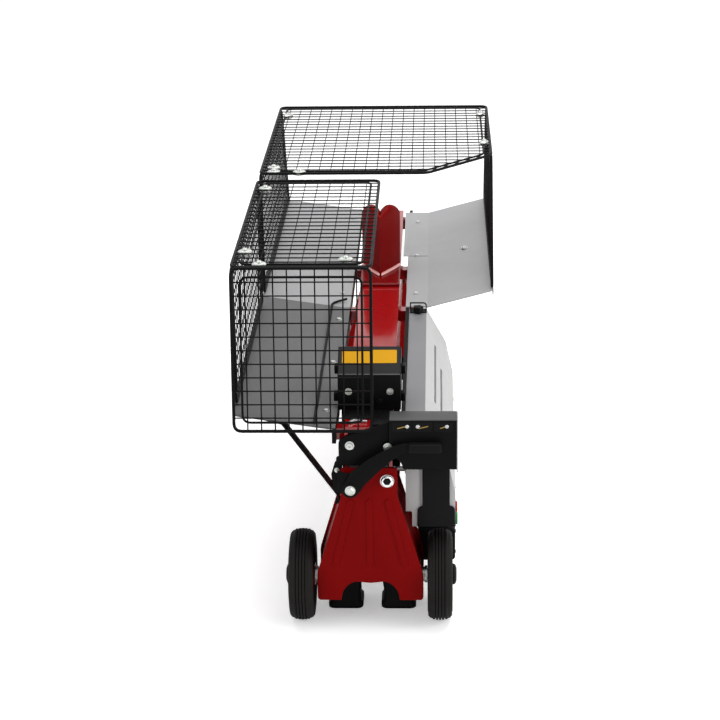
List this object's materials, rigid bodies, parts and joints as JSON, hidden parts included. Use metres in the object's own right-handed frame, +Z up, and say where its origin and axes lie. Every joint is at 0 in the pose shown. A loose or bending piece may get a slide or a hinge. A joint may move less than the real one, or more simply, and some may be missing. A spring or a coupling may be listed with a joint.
{
  "type": "horizontal log splitter",
  "caption": "Wheeled horizontal hydraulic log splitter with a beam, sliding pusher, upright wedge, folded trays and a wire mesh guard cage.",
  "frame": {"origin": "on the ground under the middle of the machine's bounding box", "axes": "+Z up, +Y along the beam from the control end to the outfeed end, +X to the right of an operator at the control end"},
  "size_m": [0.396, 1.155, 0.5766],
  "materials": {
    "red_paint": "gloss",
    "black_paint": "satin",
    "tray_grey": "matt",
    "cover_grey": "satin",
    "black_plastic": "matt",
    "foot_rubber": "matt",
    "tyre_rubber": "matt",
    "steel": "satin",
    "chrome": "polished",
    "cast_iron": "rough",
    "red_plastic": "gloss",
    "green_plastic": "gloss"
  },
  "bodies": {
    "frame": {"beam": "red_paint", "leg_near": "red_paint", "leg_far": "red_paint", "wedge": "red_paint", "wedge_base": "red_paint", "rail_left": "black_paint", "rail_right": "black_paint", "cylinder_gland": "black_paint", "end_plate": "black_paint", "control_housing": "black_paint", "tray_strut": "black_paint", "cage_front": "black_paint", "cage_top_near": "black_paint", "cage_side_near": "black_paint", "cage_top_far": "black_paint", "cage_side_far": "black_paint", "cage_side_right": "black_paint", "tray_left_near": "tray_grey", "tray_left_far": "tray_grey", "tray_right": "tray_grey", "motor_cover": "cover_grey", "switch_box": "black_plastic", "power_inlet": "black_plastic", "foot_near_left": "foot_rubber", "foot_near_right": "foot_rubber", "foot_far_left": "foot_rubber", "foot_far_right": "foot_rubber", "axle": "steel", "cylinder_tube": "steel", "cylinder_line": "steel", "feed_line": "steel", "cylinder_anchor": "cast_iron", "valve_block": "cast_iron", "pump": "cast_iron", "motor": "cast_iron"},
    "pusher": {"pusher_block": "black_paint", "pusher_platen": "black_paint", "pusher_guide_left": "black_paint", "pusher_guide_right": "black_paint", "pusher_yoke": "cast_iron", "piston_rod": "chrome"},
    "lever": {"control_lever": "black_paint", "lever_grip": "black_plastic", "lever_shaft": "steel"},
    "wheel_left": {"tyre_left": "tyre_rubber", "rim_left": "red_paint", "hub_cap_left": "black_plastic"},
    "wheel_right": {"tyre_right": "tyre_rubber", "rim_right": "red_paint", "hub_cap_right": "black_plastic"},
    "start_button": {"start_button": "green_plastic"},
    "stop_button": {"stop_button": "red_plastic"},
    "bleed_screw": {"bleed_screw": "chrome"},
    "cover_knob": {"cover_knob": "black_plastic"}
  },
  "joints": [
    {"name": "pusher_slide", "type": "slide", "parent": "frame", "child": "pusher", "axis": [0, 1, 0], "range_m": [0, 0.375]},
    {"name": "lever_hinge", "type": "hinge", "parent": "frame", "child": "lever", "pos_m": [-0.027, -0.57, 0.24], "axis": [0, 1, 0], "range_deg": [0, 22], "stiffness_Nm_per_rad": 1, "springref_deg": -20.05},
    {"name": "wheel_left_spin", "type": "hinge", "parent": "frame", "child": "wheel_left", "pos_m": [-0.105, -0.506, 0.07], "axis": [1, 0, 0], "continuous": true},
    {"name": "wheel_right_spin", "type": "hinge", "parent": "frame", "child": "wheel_right", "pos_m": [0.105, -0.506, 0.07], "axis": [1, 0, 0], "continuous": true},
    {"name": "start_press", "type": "slide", "parent": "frame", "child": "start_button", "axis": [-1, 0, 0], "range_m": [0, 0.0025], "stiffness_N_per_m": 400, "springref_m": -0.002},
    {"name": "stop_press", "type": "slide", "parent": "frame", "child": "stop_button", "axis": [-1, 0, 0], "range_m": [0, 0.0025], "stiffness_N_per_m": 400, "springref_m": -0.002},
    {"name": "bleed_turn", "type": "hinge", "parent": "frame", "child": "bleed_screw", "pos_m": [0.027, -0.5546, 0.248], "axis": [0, -1, 0], "range_deg": [0, 360]},
    {"name": "knob_turn", "type": "hinge", "parent": "frame", "child": "cover_knob", "pos_m": [0.069, -0.043, 0.3303], "axis": [0, 0, 1], "continuous": true}
  ]
}
